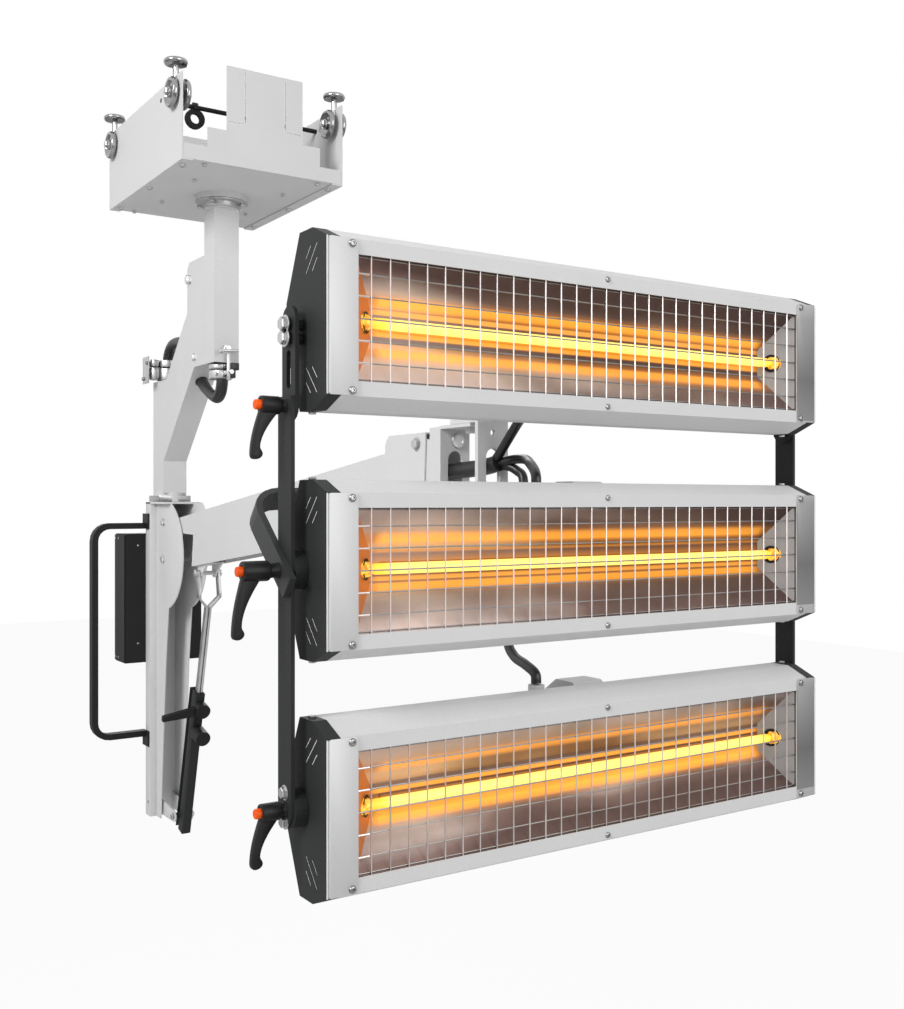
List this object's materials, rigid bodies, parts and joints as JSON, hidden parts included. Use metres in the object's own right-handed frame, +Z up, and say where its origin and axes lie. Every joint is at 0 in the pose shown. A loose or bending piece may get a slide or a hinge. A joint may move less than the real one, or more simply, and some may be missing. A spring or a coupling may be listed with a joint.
{
  "type": "ceiling rail infrared paint dryer",
  "caption": "Rail trolley with a swivelling column, offset arm, mast, balanced lift arm and a frame of tilting infrared lamp cassettes with clamp levers.",
  "frame": {"origin": "on the column's swivel axis, at the level where the trolley's wheels run on the rail", "axes": "+Z up; +X along the lamp cassettes; -Y the way the lamps shine, along the rail"},
  "size_m": [0.9442, 1.8113, 1.7375],
  "materials": {
    "light_powder": "textured powder coat",
    "dark_powder": "textured powder coat",
    "black_moulding": "fine texture",
    "orange_moulding": "smooth",
    "bright_steel": "polished",
    "zinc_steel": "zinc plated",
    "reflector": "polished",
    "quartz": "clear",
    "sheath": "matt"
  },
  "bodies": {
    "trolley": {"trolley_pan": "light_powder", "trolley_side_left": "light_powder", "trolley_side_right": "light_powder", "cable_bar": "black_moulding"},
    "wheels_1": {"wheelset_1": "bright_steel"},
    "roller_1": {"guide_roller_1": "bright_steel"},
    "wheels_2": {"wheelset_2": "bright_steel"},
    "roller_2": {"guide_roller_2": "bright_steel"},
    "wheels_3": {"wheelset_3": "bright_steel"},
    "roller_3": {"guide_roller_3": "bright_steel"},
    "wheels_4": {"wheelset_4": "bright_steel"},
    "roller_4": {"guide_roller_4": "bright_steel"},
    "column": {"column_tube": "light_powder", "offset_arm": "light_powder", "cable_clamp_front": "zinc_steel", "cable_clamp_rear": "zinc_steel", "column_cable": "sheath"},
    "mast": {"mast": "light_powder", "control_box": "black_moulding", "grab_handle": "black_moulding"},
    "lift_arm": {"lift_arm": "light_powder"},
    "level_rod": {"level_rod": "zinc_steel"},
    "arm_end": {"arm_end_bracket": "light_powder", "supply_cable": "sheath"},
    "yoke": {"yoke": "dark_powder", "cable_top": "sheath", "cable_middle": "sheath", "cable_bottom": "sheath"},
    "frame": {"post_left": "dark_powder", "post_right": "dark_powder"},
    "cassette_top": {"link_left": "dark_powder", "link_right": "dark_powder", "housing_top": "light_powder", "cap_left_top": "dark_powder", "cap_right_top": "dark_powder", "reflector_top": "reflector", "lamp_top": "quartz", "grille_top": "zinc_steel"},
    "cassette_middle": {"housing_middle": "light_powder", "cap_left_middle": "dark_powder", "cap_right_middle": "dark_powder", "reflector_middle": "reflector", "lamp_middle": "quartz", "grille_middle": "zinc_steel"},
    "cassette_bottom": {"housing_bottom": "light_powder", "cap_left_bottom": "dark_powder", "cap_right_bottom": "dark_powder", "reflector_bottom": "reflector", "lamp_bottom": "quartz", "grille_bottom": "zinc_steel"},
    "lever_top": {"lever_top": "black_moulding"},
    "button_top": {"button_top": "orange_moulding"},
    "lever_middle": {"lever_middle": "black_moulding"},
    "button_middle": {"button_middle": "orange_moulding"},
    "lever_bottom": {"lever_bottom": "black_moulding"},
    "button_bottom": {"button_bottom": "orange_moulding"},
    "strut_channel": {"strut_channel": "dark_powder"},
    "strut_fork": {"strut_fork": "zinc_steel"},
    "strut_lever": {"strut_lever": "black_moulding"},
    "strut_knob": {"strut_knob": "black_moulding"}
  },
  "joints": [
    {"name": "wheel_turn_1", "type": "hinge", "parent": "trolley", "child": "wheels_1", "pos_m": [-0.1835, -0.207, 0.032], "axis": [1, 0, 0], "continuous": true},
    {"name": "roller_turn_1", "type": "hinge", "parent": "trolley", "child": "roller_1", "pos_m": [-0.1835, -0.207, 0.087], "axis": [0, 0, 1], "continuous": true},
    {"name": "wheel_turn_2", "type": "hinge", "parent": "trolley", "child": "wheels_2", "pos_m": [-0.1835, 0.207, 0.032], "axis": [1, 0, 0], "continuous": true},
    {"name": "roller_turn_2", "type": "hinge", "parent": "trolley", "child": "roller_2", "pos_m": [-0.1835, 0.207, 0.087], "axis": [0, 0, 1], "continuous": true},
    {"name": "wheel_turn_3", "type": "hinge", "parent": "trolley", "child": "wheels_3", "pos_m": [0.1835, -0.207, 0.032], "axis": [1, 0, 0], "continuous": true},
    {"name": "roller_turn_3", "type": "hinge", "parent": "trolley", "child": "roller_3", "pos_m": [0.1835, -0.207, 0.087], "axis": [0, 0, 1], "continuous": true},
    {"name": "wheel_turn_4", "type": "hinge", "parent": "trolley", "child": "wheels_4", "pos_m": [0.1835, 0.207, 0.032], "axis": [1, 0, 0], "continuous": true},
    {"name": "roller_turn_4", "type": "hinge", "parent": "trolley", "child": "roller_4", "pos_m": [0.1835, 0.207, 0.087], "axis": [0, 0, 1], "continuous": true},
    {"name": "column_swivel", "type": "hinge", "parent": "trolley", "child": "column", "pos_m": [0, 0, -0.123], "axis": [0, 0, 1], "range_deg": [-170, 170]},
    {"name": "mast_swivel", "type": "hinge", "parent": "column", "child": "mast", "pos_m": [0, 0.3455, -0.8135], "axis": [0, 0, 1], "range_deg": [-150, 150]},
    {"name": "arm_lift", "type": "hinge", "parent": "mast", "child": "lift_arm", "pos_m": [0, 0.304, -0.864], "axis": [-1, 0, 0], "range_deg": [-15, 20]},
    {"name": "level_rod_turn", "type": "hinge", "parent": "mast", "child": "level_rod", "pos_m": [0, 0.304, -0.958], "axis": [-1, 0, 0], "range_deg": [-16, 21]},
    {"name": "arm_end_level", "type": "hinge", "parent": "lift_arm", "child": "arm_end", "pos_m": [0, -0.90096, -0.71946], "axis": [-1, 0, 0], "range_deg": [-21, 16]},
    {"name": "strut_swing", "type": "hinge", "parent": "mast", "child": "strut_channel", "pos_m": [0, 0.255, -1.595], "axis": [1, 0, 0], "range_deg": [-1.2, 1.5]},
    {"name": "strut_slide", "type": "slide", "parent": "strut_channel", "child": "strut_fork", "axis": [0, -0.2672, 0.9636], "range_m": [-0.066, 0.088]},
    {"name": "strut_lever_turn", "type": "hinge", "parent": "strut_channel", "child": "strut_lever", "pos_m": [0, 0.13853, -1.30975], "axis": [0, -0.9636, -0.2672], "range_deg": [-30, 30]},
    {"name": "strut_knob_turn", "type": "hinge", "parent": "strut_channel", "child": "strut_knob", "pos_m": [0, 0.15537, -1.37046], "axis": [0, -0.9636, -0.2672], "range_deg": [-170, 170]},
    {"name": "head_swivel", "type": "hinge", "parent": "arm_end", "child": "yoke", "pos_m": [0, -1.022, -0.69396], "axis": [0, 0, 1], "range_deg": [-60, 60], "deforming": ["supply_cable"]},
    {"name": "frame_tilt", "type": "hinge", "parent": "yoke", "child": "frame", "pos_m": [0, -1.271, -0.894], "axis": [1, 0, 0], "range_deg": [-15, 60], "deforming": ["cable_top", "cable_middle", "cable_bottom"]},
    {"name": "tilt_top", "type": "hinge", "parent": "frame", "child": "cassette_top", "pos_m": [0, -1.271, -0.703], "axis": [1, 0, 0], "range_deg": [-20, 60]},
    {"name": "tilt_middle", "type": "hinge", "parent": "frame", "child": "cassette_middle", "pos_m": [0, -1.271, -0.894], "axis": [1, 0, 0], "range_deg": [-30, 30]},
    {"name": "tilt_bottom", "type": "hinge", "parent": "frame", "child": "cassette_bottom", "pos_m": [0, -1.271, -1.172], "axis": [1, 0, 0], "range_deg": [-45, 45]},
    {"name": "lever_turn_top", "type": "hinge", "parent": "frame", "child": "lever_top", "pos_m": [-0.4687, -1.271, -0.703], "axis": [1, 0, 0], "range_deg": [-40, 40]},
    {"name": "button_press_top", "type": "slide", "parent": "lever_top", "child": "button_top", "axis": [1, 0, 0], "range_m": [0, 0.003], "stiffness_N_per_m": 800, "springref_m": -0.001},
    {"name": "lever_turn_middle", "type": "hinge", "parent": "yoke", "child": "lever_middle", "pos_m": [-0.4911, -1.271, -0.894], "axis": [1, 0, 0], "range_deg": [-40, 40]},
    {"name": "button_press_middle", "type": "slide", "parent": "lever_middle", "child": "button_middle", "axis": [1, 0, 0], "range_m": [0, 0.003], "stiffness_N_per_m": 800, "springref_m": -0.001},
    {"name": "lever_turn_bottom", "type": "hinge", "parent": "frame", "child": "lever_bottom", "pos_m": [-0.4687, -1.271, -1.172], "axis": [1, 0, 0], "range_deg": [-40, 40]},
    {"name": "button_press_bottom", "type": "slide", "parent": "lever_bottom", "child": "button_bottom", "axis": [1, 0, 0], "range_m": [0, 0.003], "stiffness_N_per_m": 800, "springref_m": -0.001}
  ],
  "couplings": [
    {"joint": "level_rod_turn", "follows": "arm_lift", "ratio": 1},
    {"joint": "arm_end_level", "follows": "arm_lift", "ratio": -1},
    {"joint": "strut_swing", "follows": "arm_lift", "ratio": 0.06},
    {"joint": "strut_slide", "follows": "arm_lift", "m_per_rad": 0.239}
  ]
}
